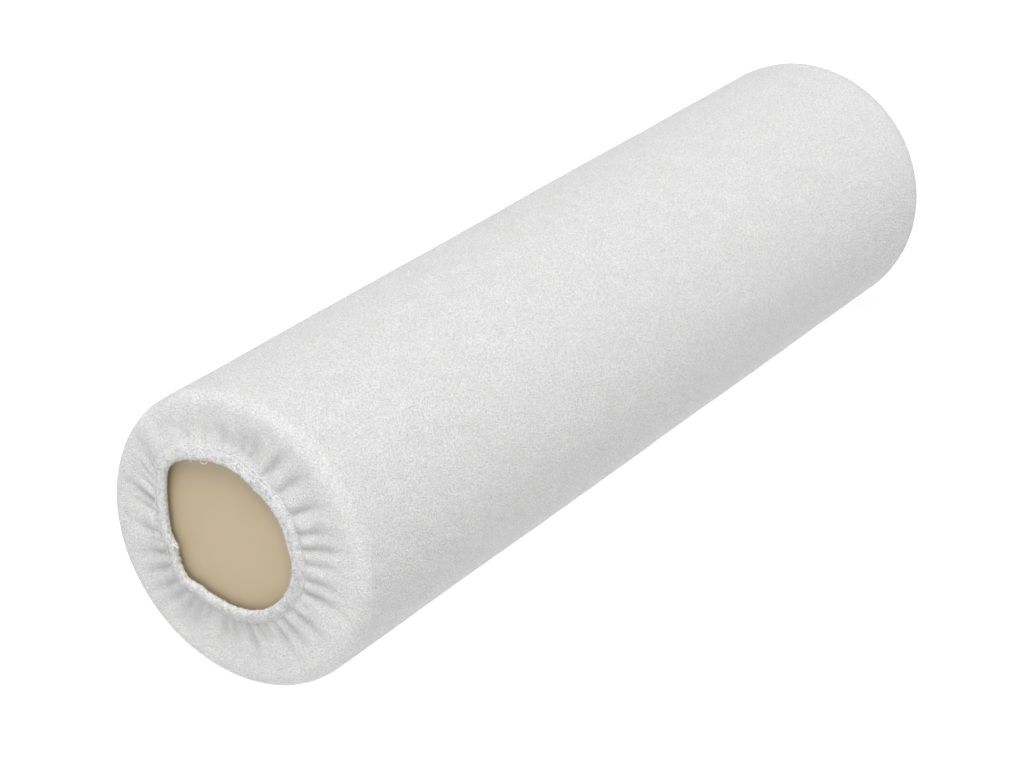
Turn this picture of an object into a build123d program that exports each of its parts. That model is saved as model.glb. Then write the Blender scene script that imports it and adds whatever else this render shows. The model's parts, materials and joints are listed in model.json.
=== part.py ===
"""Massage bolster: a foam roll in a sewn vinyl case with a zip, inside a fitted terry cover.

The roll lies along X and rests on z = 0. Its front end is at -X and its rear end at +X.
The zip runs along the roll's side at +Y. The terry cover is gathered at both ends by an
elastic band in a hem, and leaves a round mouth through which the case's end panel shows.
All sizes are in millimetres.
"""

import os
from dataclasses import dataclass
from math import acos, cos, degrees, pi, radians, sin, sqrt

from build123d import *

# The stuffed case.
case_length = 600.0
case_diameter = 150.0
vinyl = 1.2  # one layer of coated fabric
front_edge_radius = 6.0
rear_edge_radius = 24.0
end_seam_angle = 45.0  # where the end seam lies, from the tube (0) to the flat end (90)
seam_allowance = 9.0
seam_stitch_inset = 3.0  # from the tube's end, into the allowance

# The zip, in a flat that is sunk into the case so that the slider stays under the cover.
zip_end_gap = 70.0  # from the case's end to the zip's slot
zip_cover_gap = 1.0  # between the slider's bridge and the cover
zip_slot_gap = 0.8  # between the slider and the slot's side
zip_fold = 8.0  # width of the case's folded edge beside the slot
flat_past_pull = 9.0  # how much further than the pull the flat reaches past the slot
tape_thickness = 0.6
tape_tail = 12.0  # tape past each end of the slot
row_gap = 1.0  # between the two rows of the chain
row_width = 2.5
row_height = 2.3
row_core = 1.2
element_pitch = 2.0
element_length = 1.3
stop_length = 3.0
stop_margin = 1.0
zip_clearance = 0.3
zip_stitch_margin = 2.0  # from the folded edge's outer side

# The zip's slider and pull.
slider_length = 11.0
slider_plate = 0.8
slider_roof = 1.0
slider_wall = 1.0
slider_flare = 0.9  # how much further out the slider's wide end reaches
slider_web = 0.5
bridge_length = 7.6
bridge_width = 2.2
bridge_bar = 1.0
pull_pin_radius = 0.6
pull_arm = 1.4
pull_thickness = 1.2
pull_length = 18.0
pull_hole_radius = 1.3

# The terry cover.
terry = 3.5  # one layer with its pile
hem_cloth = 1.3  # one layer, pulled thin in the hem
mouth_radius = 38.0
hem_rise = 3.3  # gap between the taut hem and the end panel
hem_slope = 9.0  # least radial run in which the cover comes down from the hem to the case
hem_stitch_margin = 2.2  # cloth behind the elastic, with the stitching in its middle
rest_depth = 1.0  # pile crushed where the roll rests
side_seam_angle = -35.0  # round the roll from +Y, downwards
side_seam_width = 5.0

# The elastic bands.
elastic_width = 5.1
elastic_thickness = 1.2
elastic_clearance = 0.2

# Sewing thread, which lies pulled down into what it sews.
thread_width = 0.7
thread_height = 0.4
thread_clearance = 0.05

# Sizes that follow from those above.
case_radius = case_diameter / 2
half_length = case_length / 2
cover_radius = case_radius + terry
axis_height = cover_radius - rest_depth
tunnel = elastic_thickness + 2 * elastic_clearance
hem_top = hem_rise + 2 * hem_cloth + tunnel
hem_width = hem_cloth + elastic_width + 2 * elastic_clearance + hem_stitch_margin

# Heights of the zip's pieces over the roll's axis, along +Y, from the outside in.
bridge_top = case_radius - zip_cover_gap
bridge_under = bridge_top - bridge_bar
pin_height = bridge_under - zip_clearance - pull_pin_radius
roof_top = pin_height - pull_pin_radius - zip_clearance
roof_under = roof_top - slider_roof
row_top = roof_under - zip_clearance
zip_back = row_top - row_height
zip_face = zip_back + 2 * vinyl
tape_back = zip_back - tape_thickness
plate_top = tape_back - zip_clearance
plate_under = plate_top - slider_plate

# Widths across the zip, and places along it.
row_outer = row_gap / 2 + row_width
channel_half = row_outer + zip_clearance
slider_half = channel_half + slider_wall
slot_half_width = slider_half + slider_flare + zip_slot_gap
zip_slot_width = 2 * slot_half_width
tape_width = slot_half_width + zip_fold
zip_length = case_length - 2 * zip_end_gap
flat_half = zip_length / 2 + pull_length + flat_past_pull
stop_place = zip_length / 2 - stop_margin - stop_length / 2
row_length = 2 * (stop_place - stop_length / 2)
slider_place = row_length / 2 - zip_clearance - slider_length / 2
arm_inner = bridge_width / 2 + zip_clearance
arm_outer = arm_inner + pull_arm
pull_start = bridge_length / 2 + zip_clearance

# The roll's axis, the plane that its profiles are drawn on, a plane across it, and the
# planes that look out along the zip and along the cover's side seam.
roll_axis = Axis((0, 0, axis_height), (1, 0, 0))
profile_plane = Plane((0, 0, axis_height), x_dir=(1, 0, 0), z_dir=(0, -1, 0))
cross_plane = Plane((0, 0, axis_height), x_dir=(0, 1, 0), z_dir=(1, 0, 0))
zip_plane = Plane((0, 0, axis_height), x_dir=(-1, 0, 0), z_dir=(0, 1, 0))
seam_plane = zip_plane.rotated((side_seam_angle, 0, 0))


@dataclass
class End:
    """One end of the roll: which way it points along X, and how round its edge is."""

    name: str
    way: int
    edge_radius: float

    @property
    def edge_start(self):
        """Where the tube ends and the rounded edge begins."""
        return self.way * (half_length - self.edge_radius)


front = End("front", -1, front_edge_radius)
rear = End("rear", 1, rear_edge_radius)
ends = (front, rear)


def edge_point(end, depth, angle):
    """A point on the layer that lies that deep under the case's skin, round the edge.

    The angle is 0 where the tube ends and 90 where the flat end begins."""
    reach = end.edge_radius - depth
    along = end.edge_start + end.way * reach * sin(radians(angle))
    out = case_radius - end.edge_radius + reach * cos(radians(angle))
    return (along, out)


def edge_arc(end, depth, start, stop):
    """The layer's arc round the edge, between two angles."""
    middle = (start + stop) / 2
    ThreePointArc(*(edge_point(end, depth, a) for a in (start, middle, stop)))


def tube_point(end, depth, inset):
    """A point on a layer of the tube, that far in from the rounded edge."""
    return (end.edge_start - end.way * inset, case_radius - depth)


def face_point(end, rise, out):
    """A point that far outside the flat end, and that far from the roll's axis."""
    return (end.way * (half_length + rise), out)


def bar(length, width, bottom, top, mode=Mode.ADD):
    """A block that stands between two heights, at the current location."""
    with Locations((0, 0, bottom)):
        Box(length, width, top - bottom, align=(Align.CENTER, Align.CENTER, Align.MIN), mode=mode)


def save(part, name):
    """Names a finished piece and writes it."""
    part.label = name
    export_step(part, f"parts/{name}.step")


def ring(end, rise, out, width, height, gap=0.0, mode=Mode.ADD):
    """A ring round the roll, of rectangular section, with its lowest inner corner given.

    The rise is measured outwards from the flat end, and the gap is added on every side."""
    middle = (end.way * (half_length + rise + height / 2), out + width / 2)
    with BuildSketch(profile_plane) as section:
        with Locations(middle):
            Rectangle(height + 2 * gap, width + 2 * gap)
    revolve(section.sketch, axis=roll_axis, mode=mode)


def seam_rings(end, gap=0.0, mode=Mode.ADD):
    """The end seam's two threads, one on each side of the two seam allowances."""
    rise = -end.edge_radius - seam_stitch_inset - thread_width / 2
    for out in (case_radius - vinyl - thread_height, case_radius - 3 * vinyl - thread_height):
        ring(end, rise, out, thread_height, thread_width, gap, mode)


def hem_rings(end, gap=0.0, mode=Mode.ADD):
    """The hem's two threads, one on the outer face and one on the inner face."""
    out = mouth_radius + hem_width - (hem_stitch_margin + thread_width) / 2
    for rise in (hem_rise, hem_top - thread_height):
        ring(end, rise, out, thread_width, thread_height, gap, mode)


def zip_stitch_lines(gap=0.0, mode=Mode.ADD):
    """The zip's stitching: on each side a thread on the case and one under the tape."""
    place = slot_half_width + zip_fold - zip_stitch_margin
    length = zip_length + 2 * (zip_fold - zip_stitch_margin)
    for bottom in (tape_back, zip_face - thread_height):
        with BuildSketch(zip_plane.offset(bottom - gap)) as lines:
            with GridLocations(1, 2 * place, 1, 2):
                Rectangle(length + 2 * gap, thread_width + 2 * gap)
        extrude(lines.sketch, amount=thread_height + 2 * gap, mode=mode)


os.makedirs("parts", exist_ok=True)

# ---------------------------------------------------------------- the vinyl case
def seam_turn(end):
    """The angle at which an end panel has turned in under the tube's folded edge."""
    return end_seam_angle + 180 / pi * vinyl / (end.edge_radius - 2 * vinyl)


# The tube panel: its wall, and its edges folded back inside as seam allowances.
with BuildPart() as case_tube:
    with BuildSketch(profile_plane):
        with BuildLine():
            for end in ends:
                edge_arc(end, 0, 0, end_seam_angle)
                Line(edge_point(end, 0, end_seam_angle), edge_point(end, 2 * vinyl, end_seam_angle))
                edge_arc(end, 2 * vinyl, end_seam_angle, 0)
                Polyline(
                    edge_point(end, 2 * vinyl, 0),
                    tube_point(end, 2 * vinyl, seam_allowance),
                    tube_point(end, vinyl, seam_allowance),
                )
            Line(tube_point(front, 0, 0), tube_point(rear, 0, 0))
            Line(tube_point(front, vinyl, seam_allowance), tube_point(rear, vinyl, seam_allowance))
        make_face()
    revolve(axis=roll_axis)
    # The tube is cut away over the flat, which is then closed by a chord-shaped wall.
    with Locations((0, zip_face + case_radius / 2, axis_height)):
        Box(2 * flat_half, case_radius, 2 * case_radius, mode=Mode.SUBTRACT)
    with BuildSketch(cross_plane.offset(-flat_half - vinyl)):
        Circle(case_radius)
        with Locations((zip_face - vinyl / 2, 0)):
            Rectangle(vinyl, 2 * case_radius, mode=Mode.INTERSECT)
    extrude(amount=2 * (flat_half + vinyl))
    for place in (-flat_half - vinyl, flat_half):
        with BuildSketch(cross_plane.offset(place)):
            Circle(case_radius)
            with Locations((zip_face - vinyl, 0)):
                Rectangle(
                    case_radius,
                    2 * case_radius,
                    align=(Align.MIN, Align.CENTER),
                    mode=Mode.INTERSECT,
                )
        extrude(amount=vinyl)
    # The folded edges beside the slot, then the slot through both layers.
    with BuildSketch(zip_plane.offset(zip_back)):
        Rectangle(zip_length + 2 * zip_fold, zip_slot_width + 2 * zip_fold)
    extrude(amount=vinyl)
    with BuildSketch(zip_plane.offset(zip_back)):
        Rectangle(zip_length, zip_slot_width)
    extrude(amount=2 * vinyl, mode=Mode.SUBTRACT)
    zip_stitch_lines(thread_clearance, Mode.SUBTRACT)
    for end in ends:
        seam_rings(end, thread_clearance, Mode.SUBTRACT)
save(case_tube.part, "vinyl_tube_panel")


def end_panel(end):
    """The round end of the case, with its edge turned in under the tube's allowance."""
    turn = seam_turn(end)
    with BuildPart() as panel:
        with BuildSketch(profile_plane):
            with BuildLine():
                Line(face_point(end, 0, 0), edge_point(end, 0, 90))
                edge_arc(end, 0, 90, end_seam_angle)
                Line(edge_point(end, 0, end_seam_angle), edge_point(end, 2 * vinyl, end_seam_angle))
                edge_arc(end, 2 * vinyl, end_seam_angle, 0)
                Polyline(
                    tube_point(end, 2 * vinyl, 0),
                    tube_point(end, 2 * vinyl, seam_allowance),
                    tube_point(end, 3 * vinyl, seam_allowance),
                    tube_point(end, 3 * vinyl, 0),
                )
                edge_arc(end, 3 * vinyl, 0, turn)
                Line(edge_point(end, 3 * vinyl, turn), edge_point(end, vinyl, turn))
                edge_arc(end, vinyl, turn, 90)
                Polyline(edge_point(end, vinyl, 90), face_point(end, -vinyl, 0), face_point(end, 0, 0))
            make_face()
        revolve(axis=roll_axis)
    save(panel.part, f"vinyl_{end.name}_end_panel")


for end in ends:
    end_panel(end)
    with BuildPart() as seam_thread:
        seam_rings(end)
    save(seam_thread.part, f"{end.name}_end_seam_thread")

# ---------------------------------------------------------------- the foam core
with BuildPart() as foam:
    with BuildSketch(profile_plane):
        with BuildLine():
            for end in ends:
                turn = seam_turn(end)
                Line(face_point(end, -vinyl, 0), edge_point(end, vinyl, 90))
                edge_arc(end, vinyl, 90, turn)
                Line(edge_point(end, vinyl, turn), edge_point(end, 3 * vinyl, turn))
                edge_arc(end, 3 * vinyl, turn, 0)
                Polyline(
                    tube_point(end, 3 * vinyl, 0),
                    tube_point(end, 3 * vinyl, seam_allowance),
                    tube_point(end, vinyl, seam_allowance),
                )
            Line(tube_point(front, vinyl, seam_allowance), tube_point(rear, vinyl, seam_allowance))
            Line(face_point(front, -vinyl, 0), face_point(rear, -vinyl, 0))
        make_face()
    revolve(axis=roll_axis)
    # The flat, the shallow bed of the folded edges and tapes, and the slider's channel.
    for length, width, bottom in (
        (2 * (flat_half + vinyl), 2 * case_radius, zip_face - vinyl),
        (
            max(zip_length + 2 * zip_fold, zip_length + 2 * tape_tail),
            max(zip_slot_width + 2 * zip_fold, 2 * tape_width + row_gap),
            tape_back,
        ),
        (
            zip_length,
            2 * (slider_half + slider_flare + zip_clearance),
            plate_under - zip_clearance,
        ),
    ):
        with BuildSketch(zip_plane.offset(bottom)):
            Rectangle(length, width)
        extrude(amount=case_radius, mode=Mode.SUBTRACT)
    for end in ends:
        seam_rings(end, thread_clearance, Mode.SUBTRACT)
save(foam.part, "foam_core")


# ---------------------------------------------------------------- the zip
def zip_tape(side, name):
    """One woven tape, which lies flat under the case's folded edge."""
    with BuildPart() as tape:
        with BuildSketch(zip_plane.offset(tape_back)):
            with Locations((0, side * (row_gap / 2 + tape_width / 2))):
                Rectangle(zip_length + 2 * tape_tail, tape_width)
        extrude(amount=tape_thickness)
        zip_stitch_lines(thread_clearance, Mode.SUBTRACT)
    save(tape.part, name)


def zip_row(side, name):
    """One row of the chain: moulded elements on a cord along the tape's edge."""
    count = int(row_length / element_pitch)
    with BuildPart() as row:
        with BuildSketch(zip_plane.offset(zip_back)):
            with Locations((0, side * (row_gap + row_width) / 2)):
                Rectangle(row_length, row_core)
        extrude(amount=row_core)
        with BuildSketch(zip_plane.offset(zip_back)):
            with Locations((0, side * (row_gap + row_width) / 2)):
                with GridLocations(element_pitch, 1, count, 1):
                    Rectangle(element_length, row_width)
        extrude(amount=row_height)
    save(row.part, name)


for side, name in ((1, "upper"), (-1, "lower")):
    zip_tape(side, f"zip_tape_{name}")
    zip_row(side, f"zip_row_{name}")

with BuildPart(zip_plane) as top_stops:
    for side in (1, -1):
        with Locations((-stop_place, side * (row_gap + row_width) / 2)):
            bar(stop_length, row_width, zip_back, row_top)
save(top_stops.part, "zip_top_stops")

with BuildPart(zip_plane) as bottom_stop:
    with Locations((stop_place, 0)):
        bar(stop_length, 2 * row_outer, zip_back, row_top)
save(bottom_stop.part, "zip_bottom_stop")

with BuildPart() as zip_thread:
    zip_stitch_lines()
save(zip_thread.part, "zip_stitching")

# The slider waits at the zip's closed end, its wide end towards the top stops.
with BuildPart(zip_plane) as slider:
    half = slider_length / 2
    wide = slider_half + slider_flare
    outline = [(-half, wide), (half, slider_half), (half, -slider_half), (-half, -wide)]
    for bottom, top in ((plate_under, plate_top), (tape_back + tape_thickness + zip_clearance, roof_top)):
        with BuildSketch(zip_plane.offset(bottom)):
            with Locations((-slider_place, 0)):
                Polygon(*outline, align=None)
        extrude(amount=top - bottom)
    with Locations((-slider_place, 0)):
        bar(slider_length, 2 * channel_half, plate_top, roof_under, mode=Mode.SUBTRACT)
        bar(slider_length / 2, slider_web, plate_top, roof_under)
        bar(bridge_length, bridge_width, roof_top, bridge_top)
        bar(bridge_length - 2 * bridge_bar, bridge_width, roof_top, bridge_under, mode=Mode.SUBTRACT)
    fillet(slider.edges().filter_by(Axis.Z).sort_by(Axis.Y)[-2:], bridge_bar / 2)
save(slider.part, "zip_slider")

# The pull hangs by its pin under the slider's bridge and lies back along the chain.
with BuildPart(zip_plane) as pull:
    pull_bottom = pin_height - pull_thickness / 2
    with Locations((-slider_place, 0, pin_height)):
        Cylinder(pull_pin_radius, 2 * arm_outer, rotation=(90, 0, 0))
    with BuildSketch(zip_plane.offset(pull_bottom)):
        with Locations((-slider_place, 0)):
            with Locations((pull_length / 2, 0)):
                Rectangle(pull_length, 2 * arm_outer)
            with Locations((pull_start / 2, 0)):
                Rectangle(pull_start, 2 * arm_inner, mode=Mode.SUBTRACT)
            with Locations((pull_length - arm_outer, 0)):
                Circle(pull_hole_radius, mode=Mode.SUBTRACT)
    extrude(amount=pull_thickness)
    far_end = pull.faces().filter_by(Axis.X).sort_by(Axis.X)[0]
    fillet(far_end.edges().filter_by(Axis.Y), arm_outer / 2)
save(pull.part, "zip_pull")


# ---------------------------------------------------------------- the terry cover
def foot_angle(end, depth):
    """Where on the rounded edge a layer of the cover leaves it, to climb to the hem."""
    foot = mouth_radius + hem_width + hem_slope
    share = (foot - case_radius + end.edge_radius) / (end.edge_radius - depth)
    return degrees(acos(max(share, 0)))


def hem_outline(end):
    """Half of the cover's profile at one end, from the edge's skin side to its case side.

    The cloth comes in over the end, climbs to the hem, folds round the elastic at the
    mouth, and its raw edge ends under the stitches."""
    raw_edge = mouth_radius + hem_width
    fold = hem_cloth
    under = hem_rise + hem_cloth + tunnel
    skin = foot_angle(end, -terry)
    lining = foot_angle(end, 0)
    edge_arc(end, -terry, 0, skin)
    Spline(
        edge_point(end, -terry, skin),
        face_point(end, hem_top, raw_edge),
        tangents=((end.way * cos(radians(skin)), -sin(radians(skin))), (0, -1)),
    )
    Line(face_point(end, hem_top, raw_edge), face_point(end, hem_top, mouth_radius + fold))
    ThreePointArc(
        face_point(end, hem_top, mouth_radius + fold),
        face_point(end, hem_top - fold * (1 - sqrt(0.5)), mouth_radius + fold * (1 - sqrt(0.5))),
        face_point(end, hem_top - fold, mouth_radius),
    )
    Line(face_point(end, hem_top - fold, mouth_radius), face_point(end, hem_rise + fold, mouth_radius))
    ThreePointArc(
        face_point(end, hem_rise + fold, mouth_radius),
        face_point(end, hem_rise + fold * (1 - sqrt(0.5)), mouth_radius + fold * (1 - sqrt(0.5))),
        face_point(end, hem_rise, mouth_radius + fold),
    )
    Polyline(
        face_point(end, hem_rise, mouth_radius + fold),
        face_point(end, hem_rise, raw_edge),
        face_point(end, hem_rise + fold, raw_edge),
        face_point(end, hem_rise + fold, mouth_radius + fold),
        face_point(end, under, mouth_radius + fold),
        face_point(end, under, raw_edge),
    )
    Spline(
        face_point(end, under, raw_edge),
        edge_point(end, 0, lining),
        tangents=((0, 1), (-end.way * cos(radians(lining)), sin(radians(lining)))),
    )
    edge_arc(end, 0, lining, 0)


def side_seam_line(gap=0.0, mode=Mode.ADD):
    """The cover's side seam: a flat band of stitching along the tube."""
    middle = (front.edge_start + rear.edge_start) / 2
    length = rear.edge_start - front.edge_start
    with BuildSketch(seam_plane.offset(cover_radius - thread_height - gap)) as band:
        with Locations((-middle, 0)):
            Rectangle(length + 2 * gap, side_seam_width + 2 * gap)
    extrude(band.sketch, amount=thread_height + 2 * gap, mode=mode)


with BuildPart() as cover:
    with BuildSketch(profile_plane):
        with BuildLine():
            for end in ends:
                hem_outline(end)
            Line(tube_point(front, -terry, 0), tube_point(rear, -terry, 0))
            Line(tube_point(front, 0, 0), tube_point(rear, 0, 0))
        make_face()
    revolve(axis=roll_axis)
    for end in ends:
        hem_rings(end, thread_clearance, Mode.SUBTRACT)
    side_seam_line(thread_clearance, Mode.SUBTRACT)
    # The pile is crushed flat where the roll rests.
    split(bisect_by=Plane.XY, keep=Keep.TOP)
save(cover.part, "terry_cover")


def elastic_band(end):
    """The flat elastic in the hem's tunnel."""
    rise = hem_rise + hem_cloth + elastic_clearance
    inner = mouth_radius + hem_cloth + elastic_clearance
    with BuildPart() as band:
        with BuildSketch(profile_plane):
            with BuildLine():
                Polyline(
                    face_point(end, rise, inner),
                    face_point(end, rise, inner + elastic_width),
                    face_point(end, rise + elastic_thickness, inner + elastic_width),
                    face_point(end, rise + elastic_thickness, inner),
                    close=True,
                )
            make_face()
        revolve(axis=roll_axis)
    save(band.part, f"{end.name}_hem_elastic")


for end in ends:
    elastic_band(end)
    with BuildPart() as hem_thread:
        hem_rings(end)
    save(hem_thread.part, f"{end.name}_hem_thread")

with BuildPart() as side_seam:
    side_seam_line()
save(side_seam.part, "cover_side_seam_thread")
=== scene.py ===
"""The looks of a massage bolster: a foam roll in a beige vinyl case, inside a white terry cover.

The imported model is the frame: the roll lies along X on z = 0, its front end at -X. All
lengths are in metres unless a name or a comment says millimetres, which MM turns into metres.
The cover's two ends are gathered by an elastic in the hem round an uneven mouth.
"""

import json
import math
from dataclasses import dataclass

import bmesh
import bpy
import numpy as np
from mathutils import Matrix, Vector, noise


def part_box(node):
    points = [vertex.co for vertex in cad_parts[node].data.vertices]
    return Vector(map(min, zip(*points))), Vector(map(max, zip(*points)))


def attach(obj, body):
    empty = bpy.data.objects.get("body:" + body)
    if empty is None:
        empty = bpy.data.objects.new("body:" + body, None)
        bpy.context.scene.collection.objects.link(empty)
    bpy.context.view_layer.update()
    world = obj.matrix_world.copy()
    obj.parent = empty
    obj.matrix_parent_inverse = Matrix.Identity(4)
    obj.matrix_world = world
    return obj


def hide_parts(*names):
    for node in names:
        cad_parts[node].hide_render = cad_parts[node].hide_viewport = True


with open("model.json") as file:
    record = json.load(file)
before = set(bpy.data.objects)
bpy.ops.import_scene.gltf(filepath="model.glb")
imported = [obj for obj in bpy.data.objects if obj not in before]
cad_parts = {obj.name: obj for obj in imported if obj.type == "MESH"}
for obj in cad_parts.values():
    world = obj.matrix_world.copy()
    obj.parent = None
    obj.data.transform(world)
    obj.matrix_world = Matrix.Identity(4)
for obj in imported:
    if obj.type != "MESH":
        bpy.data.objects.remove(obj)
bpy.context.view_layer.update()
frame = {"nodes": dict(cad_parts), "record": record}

MM = 0.001
BODY = "bolster"

# ------------------------------------------------------------------ sizes from the frame
cover_low, cover_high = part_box("terry_cover")
case_low, case_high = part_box("vinyl_tube_panel")
seam_low, seam_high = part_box("cover_side_seam_thread")
face_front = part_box("vinyl_front_end_panel")[0].x
face_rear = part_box("vinyl_rear_end_panel")[1].x

cover_radius = (cover_high.y - cover_low.y) / 2
axis_height = cover_high.z - cover_radius
case_radius = (case_high.z - case_low.z) / 2
terry = cover_radius - case_radius
vinyl = 1.2 * MM  # one layer of the case's coated fabric
hem_top = face_front - cover_low.x
seam_angle = math.atan2((seam_low.z + seam_high.z) / 2 - axis_height, (seam_low.y + seam_high.y) / 2)

# ------------------------------------------------------------------ sizes of the cloth
HEM_UNDER = 3.3 * MM  # gap between the taut hem and the end panel
HEM_HALF = (hem_top - HEM_UNDER) / 2  # radius of the hem's rolled rim
HEM_RUN = 7.2 * MM  # from the mouth's rim to the stitching, on average
HEM_RUN_MORE = 0.9 * MM  # the hem is wider above the mouth than below it
GROOVE = 1.9 * MM  # how far the stitching pulls the hem down
CLOTH = 1.15 * MM  # one layer of cloth under the stitching
LINING_GAP = 0.15 * MM  # between the cloth's inner side and the case
HEM_FALL = 12 * MM  # the run in which the cloth comes down from the hem to the case
PUFF = 1.7 * MM  # how far the cloth swells between the creases
CORNER = 0.85  # below 1 the cover's corner is fuller than a quarter circle
CREASE = 3.0 * MM  # depth of the deepest crease
CREASE_WIDTH = 2.3 * MM  # from a crease's bottom to where it has mostly faded
GATHER_RUN = 24 * MM  # the run in which the swells between the creases flatten
COLUMNS = 480  # round the cover's ends
TUBE_ROWS = 60  # along the tube
SEAM_DIP = 0.6 * MM  # how far the side seam pulls the cloth in
SEAM_DIP_WIDTH = 2.6 * MM
POLE = 0.001  # the smallest ring of an end panel, as a share of its flat's radius
POLE_MERGE = 0.2 * MM  # points nearer than this are joined at the middle
CROWN = 2.3 * MM  # how far the foam pushes the end panel out


@dataclass
class Crease:
    """A fold line that runs out from the hem. A crease of negative depth is a ridge."""

    degrees: float
    run: float
    depth: float
    lean: float
    width: float = 1.0


@dataclass(eq=False)
class End:
    """One end of the roll. The mouth is a list of (degrees round from +Y, millimetres out)."""

    name: str
    way: int
    face: float
    tube_end: float
    mouth: tuple
    creases: list
    seed: int

    @property
    def edge(self):
        """Radius of the case's rounded edge."""
        return abs(self.face - self.tube_end)


FRONT_MOUTH = (
    (0, 38.3),
    (10, 39.6),
    (20, 42.1),
    (30, 45.4),
    (37, 48.5),
    (41, 49.3),
    (47, 49.0),
    (58, 47.2),
    (65, 45.4),
    (80, 43.9),
    (90, 42.8),
    (100, 41.3),
    (112, 38.7),
    (130, 37.9),
    (150, 36.9),
    (166, 35.5),
    (172, 36.3),
    (185, 36.5),
    (215, 35.0),
    (240, 33.9),
    (270, 32.7),
    (283, 32.4),
    (295, 33.1),
    (305, 34.2),
    (311, 35.5),
    (316, 38.1),
    (325, 37.7),
    (335, 36.6),
    (344, 34.9),
    (350, 37.3),
)
FRONT_MOUTH_WIDEN = 0.4 * MM
FRONT_MOUTH_MOVE = 1.1 * MM  # how far the whole mouth is moved from its listed place
FRONT_MOUTH_MOVE_TO = math.radians(290)  # the way in which it is moved, round from +Y
REAR_MOUTH = ((0, 37), (60, 39), (110, 36.5), (165, 38.5), (210, 36), (250, 39.5), (300, 37))

# Each crease at the front end: degrees at the hem, millimetres out, depth, degrees of lean.
FRONT_CREASES = [
    Crease(degrees, run, depth, lean)
    for degrees, run, depth, lean in (
        (6, 21, 0.55, 1),
        (12, 25, 0.9, 1.5),
        (20, 19, 0.5, 1),
        (25, 18, 0.5, 1),
        (31, 18, 0.55, 2),
        (35, 20, 0.4, 1),
        (62, 11, 0.3, 1),
        (73, 12, 0.4, 2),
        (84, 14, 0.7, 2),
        (90, 12, 0.5, 2),
        (97, 17, 0.9, 2),
        (103, 20, 0.9, 2.5),
        (108, 12, 0.6, 1),
        (116, 24, 1.0, 4),
        (129, 25, 0.95, 3),
        (134, 11, 0.3, 1),
        (144, 23, 0.95, 3),
        (157, 25, 0.9, 3),
        (167, 27, 0.95, 2),
        (176, 22, 0.7, 2),
        (187, 23, 0.85, 2),
        (197, 25, 0.95, 0),
        (206, 11, 0.35, 0),
        (215, 25, 0.8, 1),
        (227, 23, 0.9, 0),
        (236, 25, 0.8, 1),
        (244, 13, 0.65, 0),
        (251, 14, 0.9, -1),
        (259, 25, 1.0, 0.5),
        (266, 13, 0.85, 0),
        (272, 19, 0.95, 0),
        (279, 25, 0.9, 1),
        (286, 11, 0.6, 0),
        (292, 20, 0.8, 1),
        (299, 28, 1.0, 0.5),
        (305, 28, 1.0, 0.5),
        (313, 28, 1.0, 1.5),
        (321, 28, 1.0, 0),
        (330, 28, 1.0, 0),
        (339, 24, 1.0, 1),
        (346, 11, 0.45, 1),
        (353, 22, 0.7, 2),
    )
] + [Crease(43, 30, -0.22, 1, 2.6), Crease(17, 26, -0.15, 1, 2.0)]


def rear_creases():
    """Creases at uneven spaces, with short ones between some of them."""
    rng = np.random.default_rng(23)
    count = 36
    found = []
    for i in range(count):
        degrees = 360 / count * (i + rng.uniform(-0.3, 0.3))
        found.append(Crease(degrees, rng.uniform(14, 23), rng.uniform(0.5, 1.0), rng.uniform(-2, 4)))
        if rng.random() < 0.4:
            found.append(Crease(degrees + 5, rng.uniform(7, 12), rng.uniform(0.25, 0.5), 0))
    return found


FRONT = End("front", -1, face_front, seam_low.x, FRONT_MOUTH, FRONT_CREASES, 7)
REAR = End("rear", 1, face_rear, seam_high.x, REAR_MOUTH, rear_creases(), 23)
ENDS = (FRONT, REAR)


# ------------------------------------------------------------------ the cloth's heights
def ease(x):
    """0 below 0, 1 above 1, and a smooth step between them."""
    x = np.clip(x, 0, 1)
    return x * x * (3 - 2 * x)


def lumps(points, size, seed):
    """Smooth random heights, from -1 to 1, of lumps about that size."""
    shift = Vector((seed * 3.1, seed * 1.7, seed * 2.3))
    return np.array([noise.noise(Vector(p[:3]) / size + shift) for p in points])


def ring(count):
    """Angles round the roll, which begin at the cover's side seam."""
    return seam_angle + 2 * math.pi * np.arange(count) / count


def place(end, along, out, angles, crease_shade=0.0):
    """Points at a height over the end's flat face and a distance from the roll's axis.

    The fourth number of each is painted shade, from 0 to 1, which darkens the terry's colour in the creases
    and beside the hem's stitching, where shade falls."""
    x = end.face + end.way * along + np.zeros_like(angles)
    crease_shade = crease_shade + np.zeros_like(angles)
    return np.stack([x, out * np.cos(angles), axis_height + out * np.sin(angles), crease_shade], axis=1)


def mouth_radius(end, angles):
    """How far the mouth's rim is from the roll's axis, with small notches in it."""
    places = np.array(sorted((a % 360, r) for a, r in end.mouth))
    fine = np.arange(0, 360, 0.5)
    radii = np.interp(fine, places[:, 0], places[:, 1], period=360)
    reach = np.arange(-12, 13)
    weights = np.exp(-0.5 * (reach / 3.5) ** 2)
    smooth = sum(w * np.roll(radii, k) for k, w in zip(reach, weights)) / weights.sum()
    rim = np.interp(np.degrees(angles) % 360, fine, smooth, period=360) * MM
    if end is FRONT:
        rim = rim + FRONT_MOUTH_WIDEN + FRONT_MOUTH_MOVE * np.cos(angles - FRONT_MOUTH_MOVE_TO)
    line = place(end, 0, rim, angles)
    return rim + 0.35 * MM * lumps(line, 2.1 * MM, end.seed) + 0.15 * MM * lumps(line, 0.9 * MM, 4)


def hem_run(angles):
    """How wide the hem is, from the mouth's rim to the stitching."""
    return HEM_RUN + HEM_RUN_MORE * np.sin(angles)


def fullness(angles):
    """From 0 to 1 at the top, where the cloth runs smoothly over the hem's stitching."""
    return np.clip(np.cos(angles - math.radians(72)), 0, 1) ** 1.5


def groove_depth(angles):
    """How far the stitching pulls the hem down."""
    return GROOVE * (1 + 0.15 * fullness(angles))


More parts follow.
